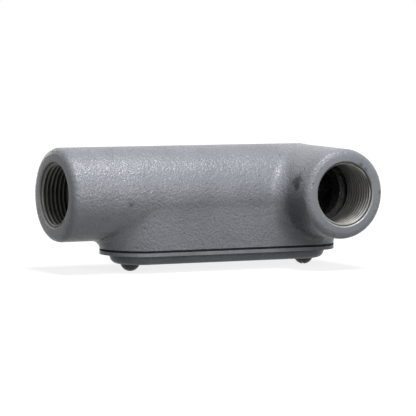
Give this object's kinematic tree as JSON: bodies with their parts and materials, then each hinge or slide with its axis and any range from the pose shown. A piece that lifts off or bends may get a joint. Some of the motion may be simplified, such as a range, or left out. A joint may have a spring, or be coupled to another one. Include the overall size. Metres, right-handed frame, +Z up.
{
  "type": "threaded conduit body",
  "caption": "Cast conduit body with a threaded hub at one end, a second threaded hub to one side, and a screwed, gasketed domed cover underneath.",
  "frame": {"origin": "middle of the run hub's mouth", "axes": "+X along the run hub's axis into the body, -Y out of the side hub, -Z out through the cover, +Z up; stored as it lies in the picture, cover down"},
  "size_m": [0.129, 0.056, 0.0495],
  "materials": {
    "casting": "cast skin under satin aluminium paint",
    "gasket": "matt black neoprene",
    "cover": "satin grey",
    "screw": "dark plated steel"
  },
  "bodies": {
    "casting": {"body_casting": "casting"},
    "cover": {"domed_cover": "cover", "cover_gasket": "gasket"},
    "run_screw": {"run_end_screw": "screw"},
    "hub_screw": {"hub_end_screw": "screw"}
  },
  "joints": [
    {"name": "cover_off", "type": "slide", "parent": "casting", "child": "cover", "axis": [0, 0, -1], "range_m": [0, 0.03]},
    {"name": "run_screw_out", "type": "slide", "parent": "cover", "child": "run_screw", "axis": [0, 0, -1], "range_m": [0, 0.0135]},
    {"name": "hub_screw_out", "type": "slide", "parent": "cover", "child": "hub_screw", "axis": [0, 0, -1], "range_m": [0, 0.0135]}
  ]
}
